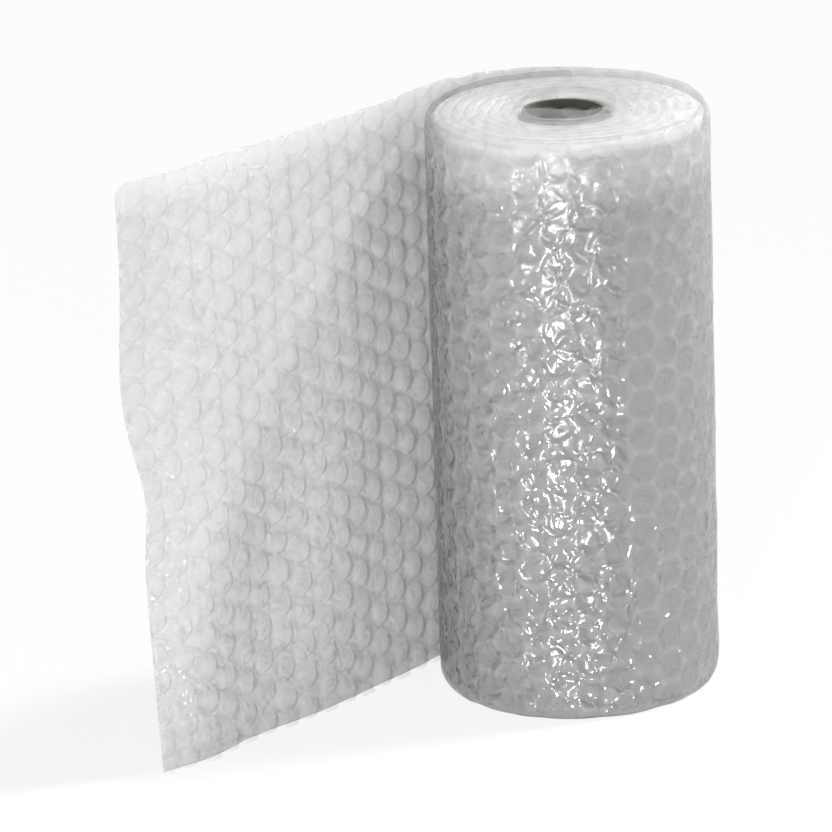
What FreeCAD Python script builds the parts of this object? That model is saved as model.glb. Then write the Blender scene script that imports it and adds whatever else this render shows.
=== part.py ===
# A roll of large-cell bubble wrap that stands on one end, with a length of its web pulled off the back.
# Two pieces: a paperboard core tube, and the web, which is one continuous piece of film from the leading
# edge on the core, through every wound turn, to the free end of the tail.
#
# Frame: +Z is the roll's axis and points up, z = 0 is the surface that the roll stands on, and the axis
# is x = 0, y = 0. The tail leaves the roll at the back (+Y) and runs to the left and forward (-X, -Y).
# All sizes are in millimetres.

import FreeCAD, Part
import math
import os

# Core tube
core_bore_diameter = 76.2
core_wall = 4.0
core_recess = 5.0            # how far the core's top end lies below the film's edge

# Web: a flat backing film with hollow cells on one side, wound with the cells towards the core
roll_width = 600.0           # the web's width, which is the roll's height as it stands
film_thickness = 1.8
cell_height = 9.4            # above the backing film
cell_diameter = 29.0         # at the film
cell_crown_diameter = 20.0
cell_gap = 4.0               # bare film between neighbouring cells
cell_sides = 5               # each round cell is modelled with so many flat sides
edge_margin = 3.0            # bare film at least this wide along the web's cut edges

# Winding
turns = 8                    # whole turns, which begin and end at the back
turn_gap = 1.0               # air between one turn and the next
core_fit = 0.3               # between the core and the first turn

# Tail: each stage bends by an angle at a radius, then runs straight, the last one to the web's end.
# A positive angle bends the way that the web is wound, which is towards the front, and a negative one
# bends away from the roll.
tail_columns = 20            # columns of cells from the roll to the free end
squeezed_columns = 1         # the first of them, which the roll still presses flat
free_end_margin = 30.0       # bare film beyond the last column
departure_bend, departure_radius, departure_run = 53.0, 160.0, 131.5
outward_bend, outward_radius, outward_run = -8.0, 500.0, 61.5
wave_bend, wave_radius, wave_run = 5.5, 360.0, 58.5
end_bend, end_radius = -12.0, 190.0

# Worked out from the sizes above
core_bore_radius = core_bore_diameter / 2
core_outer_radius = core_bore_radius + core_wall
core_length = roll_width - core_recess
web_thickness = film_thickness + cell_height
turn_pitch = web_thickness + turn_gap
first_turn_outer_radius = core_outer_radius + core_fit + web_thickness
cell_pitch = cell_diameter + cell_gap
column_spacing = cell_pitch * math.cos(math.radians(30))
cell_root = film_thickness / 2       # how deep a cell's foot is set into the film
tail_length = tail_columns * column_spacing + free_end_margin
up = FreeCAD.Vector(0, 0, 1)


class Stretch:
    """One stretch of the web's outer face seen from above: an arc, or a straight run if its curvature is 0.

    Distance s along it runs from 0 to its length. An offset moves a point to the left of the way that
    the web runs, which is the side that faces the core and carries the cells."""

    def __init__(self, start, heading, length, curvature):
        self.start = start
        self.heading = heading
        self.length = length
        self.curvature = curvature

    def inward_at(self, s):
        heading = self.heading + self.curvature * s
        return FreeCAD.Vector(-math.sin(heading), math.cos(heading), 0)

    def point_at(self, s, offset=0.0):
        if self.curvature == 0:
            along = FreeCAD.Vector(math.cos(self.heading), math.sin(self.heading), 0)
            point = self.start + along * s
        else:
            to_centre = 1 / self.curvature
            centre = self.start + self.inward_at(0) * to_centre
            point = centre - self.inward_at(s) * to_centre
        return point + self.inward_at(s) * offset

    def end(self, offset=0.0):
        return self.point_at(self.length, offset)

    def arc(self, offset):
        middle = self.point_at(self.length / 2, offset)
        return Part.Arc(self.point_at(0, offset), middle, self.end(offset)).toShape()

    def bend_on(self, angle, radius):
        """The arc that follows this stretch, bent by an angle in radians."""
        heading = self.heading + self.curvature * self.length
        return Stretch(self.end(), heading, abs(angle) * radius, math.copysign(1 / radius, angle))

    def run_on(self, length):
        """The straight run that follows this stretch."""
        heading = self.heading + self.curvature * self.length
        return Stretch(self.end(), heading, length, 0)


def wound_stretches():
    """The wound turns as half turns, each half a pitch larger than the one before, so that the line stays
    smooth and every turn clears the last by the same gap. They begin and end at the back."""
    radius = first_turn_outer_radius
    half_turns = [Stretch(FreeCAD.Vector(0, radius, 0), math.pi, math.pi * radius, 1 / radius)]
    for _ in range(2 * turns - 1):
        radius += turn_pitch / 2
        half_turns.append(half_turns[-1].bend_on(math.pi, radius))
    return half_turns


def tail_stretches(last_turn):
    """The line that the free tail follows, from where it leaves the roll to its cut end."""
    stages = [
        (departure_bend, departure_radius, departure_run),
        (outward_bend, outward_radius, outward_run),
        (wave_bend, wave_radius, wave_run),
        (end_bend, end_radius, tail_length),
    ]
    stretches = []
    last = last_turn
    for bend, radius, run in stages:
        bent = last.bend_on(math.radians(bend), radius)
        last = bent.run_on(run)
        stretches += [bent, last]
    return stretches


def bend_lines(tail, offset):
    """Where the tail bends, seen from above. Cells are stiff, so the film bends on the lines between its
    columns of cells and stays flat under each column. The last point is the cut end."""
    points = []
    for distance in [column * column_spacing for column in range(tail_columns + 1)] + [tail_length]:
        for stretch in tail:
            if distance <= stretch.length:
                break
            distance -= stretch.length
        points.append(stretch.point_at(distance, offset))
    return points


def web_strip(wound, tail):
    """The web without the tail's cells: each wound turn is as thick as its cells hold it, and the tail
    is the bare backing film."""
    last_turn = wound[-1]
    first_turn = wound[0]
    outer_tail = bend_lines(tail, 0)
    inner_tail = bend_lines(tail, film_thickness)
    tail_outline = outer_tail + inner_tail[::-1] + [last_turn.end(web_thickness)]
    leading_edge = [first_turn.point_at(0, web_thickness), first_turn.point_at(0)]
    edges = [turn.arc(0) for turn in wound]
    edges += Part.makePolygon(tail_outline).Edges
    edges += [turn.arc(web_thickness) for turn in reversed(wound)]
    edges += Part.makePolygon(leading_edge).Edges
    return Part.Face(Part.Wire(edges)).extrude(up * roll_width)


def cell_solid():
    """One cell, standing along +Z with the film's surface at z = 0 and its foot set into the film."""

    def ring(diameter, z):
        angles = [math.pi / 2 + 2 * math.pi * side / cell_sides for side in range(cell_sides + 1)]
        return [FreeCAD.Vector(math.cos(a), math.sin(a), 0) * (diameter / 2) + up * z for a in angles]

    foot = ring(cell_diameter, -cell_root)
    crown = ring(cell_crown_diameter, cell_height)
    outlines = [foot, crown]
    for side in range(cell_sides):
        outlines.append([foot[side], foot[side + 1], crown[side + 1], crown[side], foot[side]])
    return Part.Solid(Part.Shell([Part.Face(Part.makePolygon(outline)) for outline in outlines]))


def cell_heights(staggered):
    """Where the cells of one column lie along Z. Every other column is staggered by half a pitch."""
    stagger = cell_pitch / 2
    room = roll_width - 2 * edge_margin - cell_diameter - stagger
    rows = int(room / cell_pitch)
    lowest = (roll_width - rows * cell_pitch - stagger) / 2
    if staggered:
        lowest += stagger
    return [lowest + cell_pitch * row for row in range(rows + 1)]


def tail_cells(tail):
    """The cells on the tail's inner face, a column of them on each flat between two bend lines, from the
    first flat that stands clear of the roll."""
    pattern = cell_solid()
    lines = bend_lines(tail, film_thickness)
    cells = []
    for column in range(squeezed_columns, len(lines) - 2):
        along = (lines[column + 1] - lines[column]).normalize()
        foot = (lines[column + 1] + lines[column]) / 2
        inward = up.cross(along)
        turned = FreeCAD.Rotation(along, up, inward, "ZXY")
        for z in cell_heights(column % 2 == 1):
            cell = pattern.copy()
            cell.Placement = FreeCAD.Placement(foot + up * z, turned)
            cells.append(cell)
    return cells


def make_web():
    wound = wound_stretches()
    tail = tail_stretches(wound[-1])
    return web_strip(wound, tail).fuse(tail_cells(tail))


def make_core():
    tube = Part.makeCylinder(core_outer_radius, core_length)
    return tube.cut(Part.makeCylinder(core_bore_radius, core_length))


def save(shape, node):
    os.makedirs("parts", exist_ok=True)
    shape.exportStep(os.path.join("parts", node + ".step"))


save(make_core(), "core_tube")
save(make_web(), "bubble_wrap_web")
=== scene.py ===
import math

import bmesh
import bpy
import numpy as np
from mathutils import Matrix, Vector, noise


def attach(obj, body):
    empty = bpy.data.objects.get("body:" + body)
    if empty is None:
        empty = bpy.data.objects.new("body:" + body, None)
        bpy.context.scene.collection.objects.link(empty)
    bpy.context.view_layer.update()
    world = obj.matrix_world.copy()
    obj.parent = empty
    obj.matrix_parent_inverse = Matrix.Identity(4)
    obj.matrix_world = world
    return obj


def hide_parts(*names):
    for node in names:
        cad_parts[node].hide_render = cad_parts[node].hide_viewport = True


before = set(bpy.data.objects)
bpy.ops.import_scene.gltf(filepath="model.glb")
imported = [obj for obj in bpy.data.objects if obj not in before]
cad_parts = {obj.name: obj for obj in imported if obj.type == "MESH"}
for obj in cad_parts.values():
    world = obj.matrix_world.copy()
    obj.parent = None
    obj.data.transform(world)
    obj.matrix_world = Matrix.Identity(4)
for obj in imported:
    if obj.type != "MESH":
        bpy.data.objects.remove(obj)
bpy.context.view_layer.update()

# Sizes in metres, as the CAD has them
core_bore_radius = 0.0381
core_outer_radius = 0.0421
roll_width = 0.600
web_thickness = 0.0112
turn_pitch = 0.0122
first_turn_radius = 0.0536
turns = 8
cell_pitch = 0.033
column_spacing = cell_pitch * math.cos(math.radians(30))
lowest_cell = 0.02775
tail_columns = 20
tail_length = tail_columns * column_spacing + 0.030
tail_stages = [
    (53.0, 0.160, 0.1315),
    (-8.0, 0.500, 0.0615),
    (5.5, 0.360, 0.0585),
    (-12.0, 0.190, 0.300),
]

# The real web's parts, which the CAD's solids stand for
cell_film_height = 0.0006
cell_profile = [(0.0146, 0.0009), (0.0138, 0.0040), (0.0118, 0.0076), (0.0080, 0.0098)]
cell_crown_height = 0.0107
cell_segments = 12
film_grid = 0.0046
backing_thickness = 0.0004

noise.seed_set(7)


# The web's line seen from above


def sample_line():
    """Points along the web's outer face, from the leading edge on the core to the free end. Distance s is 0
    where the tail leaves the roll, negative on the roll and positive on the tail."""
    stretches = []
    for half in range(2 * turns):
        radius = first_turn_radius + half * turn_pitch / 2
        stretches.append((math.pi * radius, 1 / radius))
    wound_length = sum(length for length, _ in stretches)
    for bend, radius, run in tail_stages:
        angle = math.radians(bend)
        stretches.append((abs(angle) * radius, math.copysign(1 / radius, angle)))
        stretches.append((run, 0.0))
    x, y, heading, s = 0.0, first_turn_radius, math.pi, -wound_length
    rows = [(s, x, y, heading)]
    for length, curvature in stretches:
        steps = max(1, round(length / 0.002))
        step = length / steps
        chord = step if curvature == 0 else 2 / curvature * math.sin(curvature * step / 2)
        for _ in range(steps):
            middle = heading + curvature * step / 2
            x += chord * math.cos(middle)
            y += chord * math.sin(middle)
            heading += curvature * step
            s += step
            rows.append((s, x, y, heading))
    return np.array(rows).T


line_s, line_x, line_y, line_heading = sample_line()
wound_length = -line_s[0]
last_turn_length = math.pi * (2 * first_turn_radius + (4 * turns - 3) * turn_pitch / 2)


def smooth_step(value, low, high):
    share = np.clip((value - low) / (high - low), 0, 1)
    return share * share * (3 - 2 * share)


def lay_on_line(mesh):
    """Lays a flat mesh on the web's line. Flat, x is the distance along the web, y the place across its
    width and z the height above the backing film's outer face, towards the core."""
    flat = np.empty(len(mesh.vertices) * 3)
    mesh.vertices.foreach_get("co", flat)
    s, z, height = flat.reshape(-1, 3).T
    heading = np.interp(s, line_s, line_heading)
    x = np.interp(s, line_s, line_x) - np.sin(heading) * height
    y = np.interp(s, line_s, line_y) + np.cos(heading) * height
    mesh.vertices.foreach_set("co", np.column_stack((x, y, z)).ravel())
    mesh.update()


def keep_flat_place(mesh):
    """Keeps each corner's place on the flat web, in metres, as the UV map that the film's materials read."""
    flat = np.empty(len(mesh.vertices) * 3)
    mesh.vertices.foreach_get("co", flat)
    corners = np.empty(len(mesh.loops), dtype=np.int64)
    mesh.loops.foreach_get("vertex_index", corners)
    layer = mesh.uv_layers.new(name="web")
    layer.data.foreach_set("uv", flat.reshape(-1, 3)[corners, :2].ravel())


# How the real film departs from its line


def loose_wave(s, z):
    """How far the loose film stands off its line, towards the cells' side, at a place on the flat web."""
    share = z / roll_width
    lean = 0.0079 * (1 - 2 * share) * smooth_step(s, 0.0, 0.165)
    slack = -0.0042 * (1 - share) * smooth_step(s, 0.0, 0.100)
    sway = 0.0018 * np.sin(2 * math.pi * (s / 0.17 + z / 0.7)) * smooth_step(s, 0.05, 0.30)
    return lean + slack + sway


def free_edge_ripple(s, z):
    """How far the loose film's cut end is drawn out or in along the web."""
    drawn_out = 0.012 * np.exp(-((z - 0.40) / 0.09) ** 2)
    drawn_in = -0.009 * np.exp(-((z - 0.28) / 0.05) ** 2)
    return (drawn_out + drawn_in) * smooth_step(s, 0.50, 0.60)


def core_lip(s, z):
    """How far the innermost turns' film stands up round the core, most at the front of the roll."""
    past_front = s + wound_length - 0.150
    lip = 0.0035 + 0.004 * np.exp(-(past_front / 0.030) ** 2)
    first_turns = 1 - smooth_step(s + wound_length, 0.30, 0.75)
    return lip * first_turns * smooth_step(z, roll_width - 0.020, roll_width)


def rough(s, z, size, turn=0.0):
    """Smooth noise over the flat web, about -1 to 1, with features of about the given size."""
    points = np.column_stack((s / size, z / size))
    return np.array([noise.noise((a, b, turn)) for a, b in points])


def cell_offset(s, z):
    """The distance from a place on the flat web to the nearest cell's middle."""
    column = s / column_spacing - 0.5
    row = (z - lowest_cell) / cell_pitch
    even = np.hypot((column / 2 - np.round(column / 2)) * 2 * column_spacing,
                    (row - np.round(row)) * cell_pitch)
    column, row = column - 1, row - 0.5
    odd = np.hypot((column / 2 - np.round(column / 2)) * 2 * column_spacing,
                   (row - np.round(row)) * cell_pitch)
    return np.minimum(even, odd)


def end_curl(z, reach, depth):
    """How far a wound turn's edge bends in at both ends of the roll."""
    edge = np.minimum(z, roll_width - z)
    share = np.clip(1 - edge / reach, 0, 1)
    return depth * (1 - np.sqrt(1 - 0.96 * share ** 2))


def film_relief(s, z):
    """Height of the backing film at a place on the flat web, with its shallow dishes and creases."""
    wound = 1 - smooth_step(s, -0.04, 0.06)
    dish = np.clip(1 - (cell_offset(s, z) / 0.0155) ** 2, 0, 1)
    depth = 0.0004 + 0.0003 * rough(s, z, 0.045)
    crease = rough(s, z, 0.060, 3.0) + 0.5 * rough(s, z, 0.022, 9.0)
    relief = depth * wound * dish + 0.0009 * crease
    return relief + wound * end_curl(z, 0.020, 0.0095) + loose_wave(s, z)


# Mesh helpers


def finish_piece(name, mesh, material, smooth=True):
    if smooth:
        mesh.polygons.foreach_set("use_smooth", [True] * len(mesh.polygons))
    mesh.materials.append(material)
    piece = bpy.data.objects.new(name, mesh)
    bpy.context.scene.collection.objects.link(piece)
    return piece


def web_piece(name, bm, material, thickness=None):
    """Makes a piece of the web from a flat bmesh, fixes it to the root body and hides the CAD's web that it stands
    in for.
    """
    mesh = bpy.data.meshes.new(name)
    bm.to_mesh(mesh)
    bm.free()
    keep_flat_place(mesh)
    shape_flat_web(mesh)
    lay_on_line(mesh)
    piece = finish_piece(name, mesh, material)
    if thickness:
        wall = piece.modifiers.new("film thickness", "SOLIDIFY")
        wall.thickness = thickness
        wall.offset = -1
        wall.use_even_offset = False
    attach(piece, "root")
    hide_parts("bubble_wrap_web")
    return piece


def shape_flat_web(mesh):
    """Gives a flat piece the film's relief, its ragged edges and its lip round the core."""
    flat = np.empty(len(mesh.vertices) * 3)
    mesh.vertices.foreach_get("co", flat)
    flat = flat.reshape(-1, 3)
    s, z = flat[:, 0].copy(), flat[:, 1].copy()
    flat[:, 2] += film_relief(s, z)
    edge = np.minimum(z, roll_width - z)
    flat[:, 1] += 0.0016 * rough(s, z, 0.035, 5.0) * np.clip(1 - edge / 0.02, 0, 1) + core_lip(s, z)
    flat[:, 0] += free_edge_ripple(s, z)
    mesh.vertices.foreach_set("co", flat.ravel())


def cut(bm, point, normal):
    """Cuts away what lies beyond a plane, on the side that its normal points to."""
    bmesh.ops.bisect_plane(
        bm, geom=bm.verts[:] + bm.edges[:] + bm.faces[:], dist=1e-6,
        plane_co=point, plane_no=normal, clear_outer=True)


def trim_free_end(bm):
    """Cuts the loose end a little askew, and rounds its upper corner."""
    corner = Vector((0.604, roll_width, 0))
    cut(bm, corner, (roll_width, -0.019, 0))
    for angle in (22.5, 45.0, 67.5):
        out = Vector((math.cos(math.radians(angle)), math.sin(math.radians(angle)), 0))
        cut(bm, corner - Vector((0.018, 0.018, 0)) + out * 0.018, out)


# Node helpers


def new_material(name):
    material = bpy.data.materials.new(name)
    material.use_nodes = True
    tree = material.node_tree
    tree.nodes.clear()
    output = tree.nodes.new("ShaderNodeOutputMaterial")
    shader = tree.nodes.new("ShaderNodeBsdfPrincipled")
    tree.links.new(shader.outputs[0], output.inputs[0])
    return material, tree, shader


def add_node(tree, kind, inputs=None, **settings):
    """Adds a node. An input's value is a number, a colour, or another node's socket."""
    node = tree.nodes.new(kind)
    for key, value in settings.items():
        setattr(node, key, value)
    for key, value in (inputs or {}).items():
        if isinstance(value, bpy.types.NodeSocket):
            tree.links.new(value, node.inputs[key])
        else:
            node.inputs[key].default_value = value
    return node


def maths(tree, operation, *values):
    return add_node(tree, "ShaderNodeMath", dict(enumerate(values)), operation=operation).outputs[0]


def spread(tree, value, low, high, to_low=0.0, to_high=1.0, smooth=False):
    """A value between two bounds, spread between two others."""
    kind = "SMOOTHSTEP" if smooth else "LINEAR"
    settings = {"Value": value, "From Min": low, "From Max": high, "To Min": to_low, "To Max": to_high}
    return add_node(tree, "ShaderNodeMapRange", settings, interpolation_type=kind).outputs[0]


def blend_colours(tree, share, first, second):
    node = tree.nodes.new("ShaderNodeMix")
    node.data_type = "RGBA"
    for socket, value in ((0, share), (6, first), (7, second)):
        if isinstance(value, bpy.types.NodeSocket):
            tree.links.new(value, node.inputs[socket])
        else:
            node.inputs[socket].default_value = value
    return node.outputs[2]


def multiply(tree, first, second):
    node = tree.nodes.new("ShaderNodeMix")
    node.data_type = "RGBA"
    node.blend_type = "MULTIPLY"
    node.inputs[0].default_value = 1.0
    tree.links.new(first, node.inputs[6])
    node.inputs[7].default_value = second
    return node.outputs[2]


def new_group(name, inputs, outputs):
    tree = bpy.data.node_groups.new(name, "ShaderNodeTree")
    for label, kind, value in inputs:
        socket = tree.interface.new_socket(label, in_out="INPUT", socket_type=kind)
        if value is not None:
            socket.default_value = value
    for label, kind in outputs:
        tree.interface.new_socket(label, in_out="OUTPUT", socket_type=kind)
    start = tree.nodes.new("NodeGroupInput")
    end = tree.nodes.new("NodeGroupOutput")
    return tree, start, end


def cell_lattice_group():
    """The web's cells as masks: the round cells, and the bare film where three of them meet."""
    tree, start, end = new_group(
        "cell lattice",
        [("Place", "NodeSocketVector", None)],
        [("Disc", "NodeSocketFloat"), ("Rim", "NodeSocketFloat"), ("Meeting", "NodeSocketFloat")])
    place = add_node(tree, "ShaderNodeSeparateXYZ", {0: start.outputs["Place"]})
    column = maths(tree, "SUBTRACT", maths(tree, "DIVIDE", place.outputs[0], 2 * column_spacing), 0.25)
    row = maths(tree, "DIVIDE", maths(tree, "SUBTRACT", place.outputs[1], lowest_cell), cell_pitch)
    distances = []
    for shift in (0.0, 0.5):
        across = maths(tree, "SUBTRACT", maths(tree, "FRACT", maths(tree, "ADD", column, 0.5 - shift)), 0.5)
        along = maths(tree, "SUBTRACT", maths(tree, "FRACT", maths(tree, "ADD", row, 0.5 - shift)), 0.5)
        across = maths(tree, "MULTIPLY", across, 2 * column_spacing)
        along = maths(tree, "MULTIPLY", along, cell_pitch)
        squares = maths(tree, "ADD", maths(tree, "MULTIPLY", across, across), maths(tree, "MULTIPLY", along, along))
        distances.append(maths(tree, "SQRT", squares))
    distance = maths(tree, "MINIMUM", *distances)
    disc = spread(tree, distance, 0.0100, 0.0165, 1.0, 0.0, smooth=True)
    rim = maths(tree, "MULTIPLY", spread(tree, distance, 0.0100, 0.0125, smooth=True),
                spread(tree, distance, 0.0138, 0.0160, 1.0, 0.0, smooth=True))
    meeting = spread(tree, distance, 0.0155, 0.0188, smooth=True)
    tree.links.new(disc, end.inputs["Disc"])
    tree.links.new(rim, end.inputs["Rim"])
    tree.links.new(meeting, end.inputs["Meeting"])
    return tree


def crinkle_group():
    """Fine creases of thin film, in metres of height: flat facets, each tilted its own way, over soft ripples."""
    tree, start, end = new_group(
        "film crinkle",
        [("Place", "NodeSocketVector", None), ("Facet Size", "NodeSocketFloat", 0.012),
         ("Steepness", "NodeSocketFloat", 0.3)],
        [("Height", "NodeSocketFloat")])
    place = start.outputs["Place"]
    size = start.outputs["Facet Size"]
    drift = add_node(tree, "ShaderNodeTexNoise", {"Vector": place, "Scale": 60.0, "Detail": 0.0},
                     noise_dimensions="2D")
    shift = add_node(tree, "ShaderNodeVectorMath", {0: drift.outputs[1], "Scale": 0.016}, operation="SCALE")
    moved = add_node(tree, "ShaderNodeVectorMath", {0: place, 1: shift.outputs[0]})
    scaled = add_node(tree, "ShaderNodeVectorMath", {0: moved.outputs[0], "Scale": maths(tree, "DIVIDE", 1.0, size)},
                      operation="SCALE")
    facets = add_node(tree, "ShaderNodeTexVoronoi", {"Vector": scaled.outputs[0], "Scale": 1.0},
                      voronoi_dimensions="2D")
    tilt = add_node(tree, "ShaderNodeSeparateXYZ", {0: facets.outputs["Color"]})
    across = add_node(tree, "ShaderNodeVectorMath", {0: scaled.outputs[0], 1: facets.outputs["Position"]},
                      operation="SUBTRACT")
    across = add_node(tree, "ShaderNodeSeparateXYZ", {0: across.outputs[0]})
    turned = maths(tree, "SUBTRACT", maths(tree, "ADD", tilt.outputs[0], tilt.outputs[2]), 1.0)
    turned = maths(tree, "MULTIPLY", turned, 0.8)
    leant = maths(tree, "SUBTRACT", tilt.outputs[1], 1.0)
    rise = maths(tree, "ADD", maths(tree, "MULTIPLY", turned, across.outputs[0]),
                 maths(tree, "MULTIPLY", leant, across.outputs[1]))
    ripple = add_node(tree, "ShaderNodeTexNoise", {"Vector": scaled.outputs[0], "Scale": 0.6, "Detail": 0.0},
                      noise_dimensions="2D")
    height = maths(tree, "ADD", rise, maths(tree, "MULTIPLY", ripple.outputs[0], 0.7))
    height = maths(tree, "MULTIPLY", maths(tree, "MULTIPLY", height, size), start.outputs["Steepness"])
    tree.links.new(height, end.inputs["Height"])
    return tree


def haze_group():
    """Where the film is a little milkier and duller, and where it is clearer."""
    tree, start, end = new_group(
        "film haze",
        [("Place", "NodeSocketVector", None)],
        [("Haze", "NodeSocketFloat")])
    haze = add_node(tree, "ShaderNodeTexNoise", {"Vector": start.outputs["Place"], "Scale": 34.0, "Detail": 1.0},
                    noise_dimensions="2D")
    tree.links.new(spread(tree, haze.outputs[0], 0.3, 0.7), end.inputs["Haze"])
    return tree


def board_group():
    """Wound paperboard: the spiral seam of its plies, and the fibres in the paper."""
    tree, start, end = new_group(
        "wound board",
        [("Place", "NodeSocketVector", None), ("Ply Width", "NodeSocketFloat", 0.09)],
        [("Seam", "NodeSocketFloat"), ("Fibre", "NodeSocketFloat")])
    place = add_node(tree, "ShaderNodeSeparateXYZ", {0: start.outputs["Place"]})
    angle = maths(tree, "DIVIDE", maths(tree, "ARCTAN2", place.outputs[1], place.outputs[0]), 2 * math.pi)
    along = maths(tree, "DIVIDE", place.outputs[2], start.outputs["Ply Width"])
    wind = maths(tree, "FRACT", maths(tree, "ADD", angle, along))
    seam = spread(tree, maths(tree, "ABSOLUTE", maths(tree, "SUBTRACT", wind, 0.5)), 0.0, 0.012, 1.0, 0.0)
    fibre = add_node(tree, "ShaderNodeTexNoise",
                     {"Vector": start.outputs["Place"], "Scale": 420.0, "Detail": 6.0, "Roughness": 0.65})
    tree.links.new(seam, end.inputs["Seam"])
    tree.links.new(fibre.outputs[0], end.inputs["Fibre"])
    return tree


cell_lattice = cell_lattice_group()
film_crinkle = crinkle_group()
film_haze = haze_group()
wound_board = board_group()


def place_group(tree, group, **inputs):
    node = tree.nodes.new("ShaderNodeGroup")
    node.node_tree = group
    for key, value in inputs.items():
        key = key.replace("_", " ")
        if isinstance(value, bpy.types.NodeSocket):
            tree.links.new(value, node.inputs[key])
        else:
            node.inputs[key].default_value = value
    return node


def film_material(name, tint, cell_shade, wound_painted_shade, free_alpha, wound_alpha, roughness, gloss,
                  rim_alpha=1.0, crinkle=None):
    """Clear film that looks milky in bulk. Each alpha is a pair, for the bare film and for the cells in it,
    because film that lies on other film scatters less than film with air on both sides."""
    material, tree, shader = new_material(name)
    place = add_node(tree, "ShaderNodeUVMap", uv_map="web").outputs[0]
    parts = add_node(tree, "ShaderNodeSeparateXYZ", {0: place})
    lattice = place_group(tree, cell_lattice, Place=place)
    disc = lattice.outputs["Disc"]
    haze = place_group(tree, film_haze, Place=place).outputs["Haze"]
    colour = blend_colours(tree, disc, (*tint, 1.0), (*(channel * cell_shade for channel in tint), 1.0))
    milky = (*(channel * 0.90 for channel in tint), 1.0)
    colour = blend_colours(tree, maths(tree, "MULTIPLY", haze, 0.5), colour, milky)
    colour = blend_colours(tree, maths(tree, "MULTIPLY", lattice.outputs["Meeting"], 0.2), colour,
                           (0.95, 0.95, 0.95, 1.0))
    # The wound mask fades out over the roll's top 85 mm, so the film there keeps the loose film's lighter colour: a
    # painted highlight along the roll's top end
    wound = maths(tree, "MULTIPLY", spread(tree, parts.outputs[0], -0.03, 0.03, 1.0, 0.0, smooth=True),
                  spread(tree, parts.outputs[1], roll_width - 0.085, roll_width - 0.015, 1.0, 0.0, smooth=True))
    # On the roll the film's colour is multiplied by a grey: painted shade that darkens the roll's side
    painted_shade_colour = (wound_painted_shade, wound_painted_shade, wound_painted_shade, 1.0)
    colour = blend_colours(tree, wound, colour, multiply(tree, colour, painted_shade_colour))
    tree.links.new(colour, shader.inputs["Base Color"])
    bare_alpha = spread(tree, wound, 0.0, 1.0, free_alpha[0], wound_alpha[0])
    cell_alpha = spread(tree, wound, 0.0, 1.0, free_alpha[1], wound_alpha[1])
    alpha = maths(tree, "ADD", bare_alpha,
                  maths(tree, "MULTIPLY", disc, maths(tree, "SUBTRACT", cell_alpha, bare_alpha)))
    thinned = spread(tree, parts.outputs[1], roll_width - 0.045, roll_width, 1.0, 0.4, smooth=True)
    alpha = maths(tree, "MULTIPLY", alpha, thinned)
    faint = spread(tree, lattice.outputs["Rim"], 0.0, 1.0, 1.0, rim_alpha)
    alpha = maths(tree, "MULTIPLY", alpha, faint)
    tree.links.new(alpha, shader.inputs["Alpha"])
    dull = spread(tree, parts.outputs[1], 0.25, roll_width, roughness - 0.05, roughness + 0.07)
    dull = maths(tree, "ADD", dull, maths(tree, "MULTIPLY", haze, 0.12))
    tree.links.new(dull, shader.inputs["Roughness"])
    if crinkle:
        facet_size, steepness, dish = crinkle
        worn = spread(tree, parts.outputs[1], 0.0, roll_width, 1.1 * steepness, 0.6 * steepness)
        creases = place_group(tree, film_crinkle, Place=place, Facet_Size=facet_size, Steepness=worn)
        lift = maths(tree, "SUBTRACT", creases.outputs["Height"], maths(tree, "MULTIPLY", disc, dish))
        bump = add_node(tree, "ShaderNodeBump", {"Strength": 1.0, "Distance": 1.0, "Height": lift})
        tree.links.new(bump.outputs[0], shader.inputs["Normal"])
    shader.inputs["IOR"].default_value = 1.6
    shader.inputs["Specular IOR Level"].default_value = gloss
    return material


def packed_turns_material():
    """The turns under the outermost one: many layers of film and air. Their top end is painted near white: painted
    light standing in for the light that spreads inside them.
    """
    material, tree, shader = new_material("packed turns")
    place = add_node(tree, "ShaderNodeUVMap", uv_map="web").outputs[0]
    lattice = place_group(tree, cell_lattice, Place=place)
    haze = place_group(tree, film_haze, Place=place).outputs["Haze"]
    colour = blend_colours(tree, lattice.outputs["Disc"], (0.58, 0.582, 0.58, 1.0), (0.50, 0.502, 0.50, 1.0))
    colour = blend_colours(tree, maths(tree, "MULTIPLY", haze, 0.3), colour, (0.46, 0.462, 0.46, 1.0))
    height = add_node(tree, "ShaderNodeSeparateXYZ", {0: place}).outputs[1]
    # Painted light: the body's top end is painted near white, as if lit from above; the bottom end keeps the body's
    # colour
    top = spread(tree, height, roll_width - 0.025, roll_width - 0.012, smooth=True)
    colour = blend_colours(tree, top, colour, (0.87, 0.872, 0.865, 1.0))
    tree.links.new(colour, shader.inputs["Base Color"])
    shader.inputs["Roughness"].default_value = 0.6
    return material


def core_material():
    material, tree, shader = new_material("core board")
    place = add_node(tree, "ShaderNodeTexCoord").outputs["Object"]
    board = place_group(tree, wound_board, Place=place)
    fibre = spread(tree, board.outputs["Fibre"], 0.3, 0.7)
    colour = blend_colours(tree, fibre, (0.15, 0.147, 0.125, 1.0), (0.22, 0.215, 0.185, 1.0))
    colour = blend_colours(tree, board.outputs["Seam"], colour, (0.12, 0.115, 0.10, 1.0))
    tree.links.new(colour, shader.inputs["Base Color"])
    lift = maths(tree, "SUBTRACT", fibre, board.outputs["Seam"])
    bump = add_node(tree, "ShaderNodeBump", {"Strength": 0.5, "Distance": 0.0004, "Height": lift})
    tree.links.new(bump.outputs[0], shader.inputs["Normal"])
    shader.inputs["Roughness"].default_value = 0.85
    return material


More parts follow.
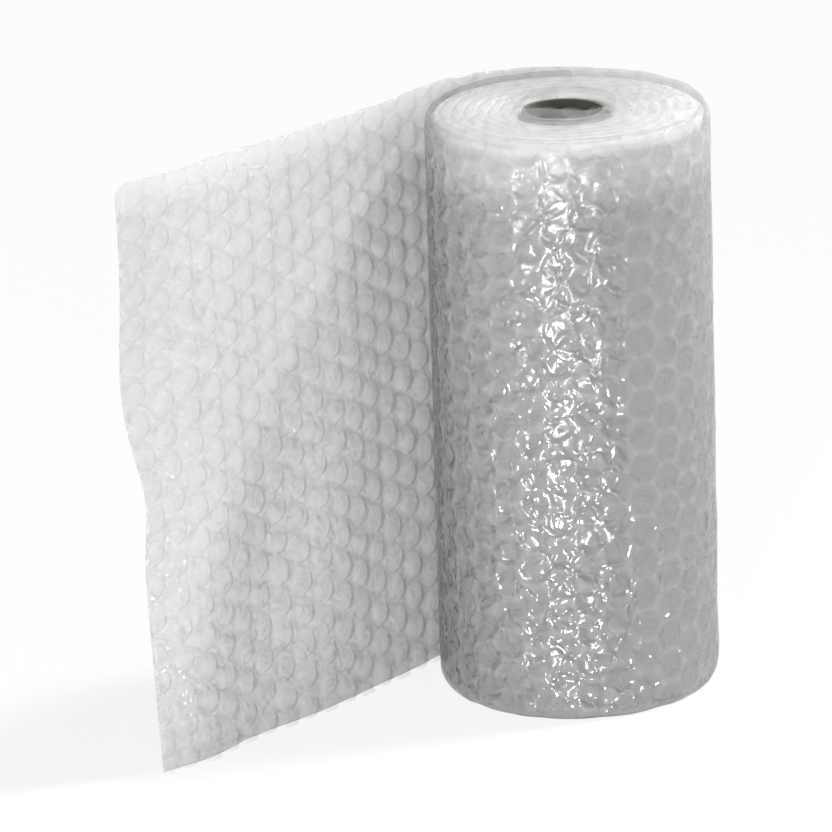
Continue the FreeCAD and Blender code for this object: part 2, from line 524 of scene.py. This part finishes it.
film_tint = (0.57, 0.572, 0.57)
# The fourth number of each film darkens it where it is wound on the roll: painted shade on the roll's side
backing = film_material("backing film", film_tint, 0.94, 0.52, free_alpha=(0.60, 0.54), wound_alpha=(0.80, 0.76),
                        roughness=0.16, gloss=0.8, crinkle=(0.0050, 0.45, 0.0010))
formed = film_material("formed film", film_tint, 0.90, 0.9, free_alpha=(0.26, 0.24), wound_alpha=(0.14, 0.14),
                       roughness=0.36, gloss=0.4, rim_alpha=0.35)
# The film at the roll's ends is a much lighter copy of the same film: painted light, so the roll's ends read as
# brightly lit
painted_light_end_film = film_material("film at the roll's ends", (0.84, 0.842, 0.835), 0.98, 1.0, free_alpha=(0.34, 0.30),
                          wound_alpha=(0.34, 0.30), roughness=0.5, gloss=0.25)
packed = packed_turns_material()


# Pieces of the web


def film_sheet(name, start, end, low, high, grid, material, thickness):
    """A stretch of the backing film between two distances along the web and two heights."""
    bm = bmesh.new()
    columns = round((end - start) / grid)
    rows = max(2, round((high - low) / grid))
    bmesh.ops.create_grid(bm, x_segments=columns, y_segments=rows, size=0.5)
    bmesh.ops.scale(bm, vec=(end - start, high - low, 1), verts=bm.verts)
    bmesh.ops.translate(bm, vec=((start + end) / 2, (low + high) / 2, 0), verts=bm.verts)
    if end > tail_length:
        trim_free_end(bm)
    return web_piece(name, bm, material, thickness)


def cell_tile(bm):
    """One cell with the hexagon of film round it, from its outline inwards to its crown."""
    corner_radius = cell_pitch / math.sqrt(3)
    ring = bmesh.ops.create_circle(bm, cap_ends=False, segments=cell_segments, radius=corner_radius)["verts"]
    per_side = cell_segments // 6
    for index, vert in enumerate(ring):
        angle = math.atan2(vert.co.y, vert.co.x)
        in_side = (math.degrees(angle) % 60) - 30
        reach = corner_radius * math.cos(math.radians(30)) / math.cos(math.radians(in_side))
        vert.co = Vector((math.cos(angle), math.sin(angle), 0)) * reach
        vert.co.z = cell_film_height
    edges = bm.edges[:]
    for radius, height in cell_profile:
        made = bmesh.ops.extrude_edge_only(bm, edges=edges)["geom"]
        for vert in (item for item in made if isinstance(item, bmesh.types.BMVert)):
            vert.co = vert.co.xy.normalized().to_3d() * radius + Vector((0, 0, height))
        edges = [item for item in made if isinstance(item, bmesh.types.BMEdge)
                 and all(abs(v.co.xy.length - radius) < 1e-6 for v in item.verts)]
    crown = bmesh.ops.edgeloop_fill(bm, edges=edges)["faces"]
    middle = bmesh.ops.poke(bm, faces=crown)["verts"]
    for vert in middle:
        vert.co.z = cell_crown_height
    bmesh.ops.recalc_face_normals(bm, faces=bm.faces)
    return bm


def cell_sheet(name, first_column, last_column, rows, low, high, material):
    """A stretch of the formed film: columns of cells, staggered by half a pitch, cut where the web is cut."""
    bm = bmesh.new()
    cell_tile(bm)
    tile = bm.verts[:] + bm.edges[:] + bm.faces[:]
    for row in rows[1:]:
        made = bmesh.ops.duplicate(bm, geom=tile)["geom"]
        verts = [item for item in made if isinstance(item, bmesh.types.BMVert)]
        bmesh.ops.translate(bm, vec=(0, (row - rows[0]) * cell_pitch, 0), verts=verts)
    start = Vector(((first_column + 0.5) * column_spacing, lowest_cell + rows[0] * cell_pitch, 0))
    bmesh.ops.translate(bm, vec=start, verts=bm.verts)
    column_parts = bm.verts[:] + bm.edges[:] + bm.faces[:]
    stagger = cell_pitch / 2
    for column in range(first_column + 1, last_column + 1):
        made = bmesh.ops.duplicate(bm, geom=column_parts)["geom"]
        verts = [item for item in made if isinstance(item, bmesh.types.BMVert)]
        steps = column - first_column
        shift = stagger if (column - first_column) % 2 else 0
        if first_column % 2:
            shift = -shift
        bmesh.ops.translate(bm, vec=(steps * column_spacing, shift, 0), verts=verts)
    if first_column % 2:
        bmesh.ops.translate(bm, vec=(0, stagger, 0), verts=bm.verts)
    bmesh.ops.remove_doubles(bm, verts=bm.verts, dist=2e-5)
    cut(bm, (0, high, 0), (0, 1, 0))
    cut(bm, (0, low, 0), (0, -1, 0))
    if (last_column + 1) * column_spacing > tail_length:
        trim_free_end(bm)
    bmesh.ops.reverse_faces(bm, faces=bm.faces)
    for vert in bm.verts:
        plump = 0.93 + 0.16 * noise.noise(Vector((vert.co.x * 26, vert.co.y * 26, 1.5)))
        vert.co.z = cell_film_height + (vert.co.z - cell_film_height) * plump
    return web_piece(name, bm, material)


def packed_turns():
    """The turns under the outermost one, as one body round the core."""
    bm = bmesh.new()
    radius, bore = 0.1305, core_outer_radius + 0.004
    low, high = 0.006, roll_width - 0.007
    segments = 160
    brim = radius + 0.0045
    profile = [(bore, low + 0.004), (bore + 0.01, low), (radius - 0.012, low), (radius - 0.003, low + 0.004),
               (radius, low + 0.014), (radius, high - 0.024), (brim - 0.001, high - 0.012),
               (brim, high - 0.004), (brim - 0.004, high), (bore + 0.01, high), (bore, high - 0.004)]
    verts = [bm.verts.new((r, 0, z)) for r, z in profile]
    edges = [bm.edges.new((verts[i], verts[(i + 1) % len(verts)])) for i in range(len(verts))]
    bmesh.ops.spin(bm, geom=verts + edges, cent=(0, 0, 0), axis=(0, 0, 1), angle=2 * math.pi,
                   steps=segments, use_merge=True)
    bmesh.ops.remove_doubles(bm, verts=bm.verts, dist=1e-6)
    bmesh.ops.recalc_face_normals(bm, faces=bm.faces)
    place = bm.loops.layers.uv.new("web")
    for face in bm.faces:
        turn = math.atan2(face.calc_center_median().y, face.calc_center_median().x)
        for loop in face.loops:
            angle = math.atan2(loop.vert.co.y, loop.vert.co.x)
            angle += 2 * math.pi * round((turn - angle) / (2 * math.pi))
            loop[place].uv = (angle * radius, loop.vert.co.z)
    outer_share = [(vert, smooth_step(vert.co.xy.length, bore, radius)) for vert in bm.verts]
    for vert, share in outer_share:
        vert.co += Vector((0.003, 0.003, 0)) * float(share)
    mesh = bpy.data.meshes.new("packed_turns")
    bm.to_mesh(mesh)
    bm.free()
    piece = finish_piece("packed_turns", mesh, packed)
    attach(piece, "root")
    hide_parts("bubble_wrap_web")
    return piece


all_rows = list(range(-1, 18))
web_columns = math.ceil(last_turn_length / column_spacing)
band = 0.045
film_sheet("backing_film", -last_turn_length - 0.012, 0.612, 0, roll_width, film_grid, backing, backing_thickness)
cell_sheet("loose_cells", 0, tail_columns + 1, all_rows, 0, roll_width, formed)
cell_sheet("outer_turn_cells", -web_columns, -1, list(range(1, 17)), band, roll_width - band, formed)
packed_turns()
inner_start = -wound_length + 0.004
inner_end = -last_turn_length - 0.010
film_sheet("inner_film_top", inner_start, inner_end, roll_width - band, roll_width, 0.0065, painted_light_end_film, backing_thickness)
film_sheet("inner_film_bottom", inner_start, inner_end, 0, band, 0.0065, painted_light_end_film, backing_thickness)
first_inner = math.ceil(inner_start / column_spacing)
cell_sheet("end_cells_top", first_inner, -1, [16, 17], roll_width - band, roll_width, painted_light_end_film)
cell_sheet("end_cells_bottom", first_inner, -1, [-1, 0], 0, band, painted_light_end_film)

# Core tube
core_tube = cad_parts["core_tube"]
core_board = core_material()
core_tube.data.materials.clear()
core_tube.data.materials.append(core_board)


# Floor and background


def floor_material():
    material = bpy.data.materials.new("pale floor")
    material.use_nodes = True
    tree = material.node_tree
    tree.nodes.clear()
    output = tree.nodes.new("ShaderNodeOutputMaterial")
    path = tree.nodes.new("ShaderNodeLightPath")
    seen = maths(tree, "MAXIMUM", path.outputs["Is Camera Ray"], path.outputs["Is Glossy Ray"])
    seen = maths(tree, "MAXIMUM", seen, path.outputs["Is Transmission Ray"])
    matt = add_node(tree, "ShaderNodeBsdfDiffuse", {"Color": (0.80, 0.80, 0.80, 1.0)})
    white = add_node(tree, "ShaderNodeEmission", {"Color": (1.0, 1.0, 1.0, 1.0), "Strength": 1.0})
    share = maths(tree, "MULTIPLY", seen, 0.86)
    mix = add_node(tree, "ShaderNodeMixShader", {0: share, 1: matt.outputs[0], 2: white.outputs[0]})
    tree.links.new(mix.outputs[0], output.inputs[0])
    return material


floor_bm = bmesh.new()
bmesh.ops.create_grid(floor_bm, x_segments=1, y_segments=1, size=9)
floor_mesh = bpy.data.meshes.new("floor")
floor_bm.to_mesh(floor_mesh)
floor_bm.free()
floor = finish_piece("floor", floor_mesh, floor_material(), smooth=False)

world = bpy.data.worlds.new("studio")
bpy.context.scene.world = world
world.use_nodes = True
sky = world.node_tree
sky.nodes.clear()
sky_output = sky.nodes.new("ShaderNodeOutputWorld")
sky_path = sky.nodes.new("ShaderNodeLightPath")
sky_seen = maths(sky, "MAXIMUM", sky_path.outputs["Is Camera Ray"], sky_path.outputs["Is Glossy Ray"])
sky_seen = maths(sky, "MAXIMUM", sky_seen, sky_path.outputs["Is Transmission Ray"])
ambient = 0.12
sky_light = add_node(sky, "ShaderNodeBackground",
                     {"Color": (1.0, 1.0, 1.0, 1.0), "Strength": spread(sky, sky_seen, 0, 1, ambient, 1.0)})
sky.links.new(sky_light.outputs[0], sky_output.inputs[0])


# Lights


def aim(thing, target):
    thing.rotation_euler = (Vector(target) - thing.location).to_track_quat("-Z", "Y").to_euler()


key_light = bpy.data.lights.new("key", "SUN")
key_light.energy = 3.3
key_light.angle = math.radians(7)
key = bpy.data.objects.new("key", key_light)
key.location = Vector((0.565, 0.162, 0.809)) * 4
aim(key, (0, 0, 0))
bpy.context.scene.collection.objects.link(key)

def soft_lamp(name, azimuth, elevation, distance, size, energy, height=roll_width / 2, glints=False):
    """An area lamp that faces the roll's axis at a height. Azimuth 0 is in front of the roll, and 90 is on
    its right. Only a lamp with glints shows in the film's gloss."""
    light = bpy.data.lights.new(name, "AREA")
    light.shape = "RECTANGLE"
    light.size, light.size_y = size
    light.energy = energy
    lamp = bpy.data.objects.new(name, light)
    turn, rise = math.radians(azimuth), math.radians(elevation)
    towards = Vector((math.sin(turn) * math.cos(rise), -math.cos(turn) * math.cos(rise), math.sin(rise)))
    faced = Vector((0, 0, height))
    lamp.location = faced + towards * distance
    aim(lamp, faced)
    lamp.visible_glossy = glints
    bpy.context.scene.collection.objects.link(lamp)


soft_lamp("front strip", azimuth=-8, elevation=5, distance=2.2, size=(0.20, 1.0), energy=19.0, glints=True)
soft_lamp("low front lamp", azimuth=-10, elevation=5, distance=1.3, size=(0.25, 0.15), energy=7.0, height=0.08,
          glints=True)
soft_lamp("left fill", azimuth=-45, elevation=15, distance=2.5, size=(1.2, 1.2), energy=9.0)
soft_lamp("right fill", azimuth=110, elevation=10, distance=1.5, size=(0.5, 0.5), energy=7.0)
soft_lamp("upper left lamp", azimuth=-38, elevation=12, distance=0.42, size=(0.2, 0.2), energy=0.3, height=0.56)
soft_lamp("upper right lamp", azimuth=85, elevation=10, distance=0.42, size=(0.2, 0.2), energy=0.5, height=0.53)

# Camera at the photograph's angle
camera_data = bpy.data.cameras.new("camera")
camera_data.lens = 259.6
camera_data.sensor_width = 36
camera_data.clip_end = 60
camera = bpy.data.objects.new("camera", camera_data)
bpy.context.scene.collection.objects.link(camera)
camera_pitch = math.radians(17.96)
camera_roll = math.radians(-1.83)
camera_distance = 6.033
camera_target = Vector((-0.156, 0, 0.2808))
forward = Vector((0, math.cos(camera_pitch), -math.sin(camera_pitch)))
right = Vector((1, 0, 0))
upward = right.cross(forward)
image_right = right * math.cos(camera_roll) + upward * math.sin(camera_roll)
image_up = upward * math.cos(camera_roll) - right * math.sin(camera_roll)
camera.matrix_world = (
    Matrix.Translation(camera_target - forward * camera_distance)
    @ Matrix((image_right, image_up, -forward)).transposed().to_4x4())
bpy.context.scene.camera = camera

bpy.context.scene.view_settings.view_transform = "Standard"
cycles = bpy.context.scene.cycles
cycles.max_bounces = 4
cycles.diffuse_bounces = 2
cycles.glossy_bounces = 1
cycles.transparent_max_bounces = 20
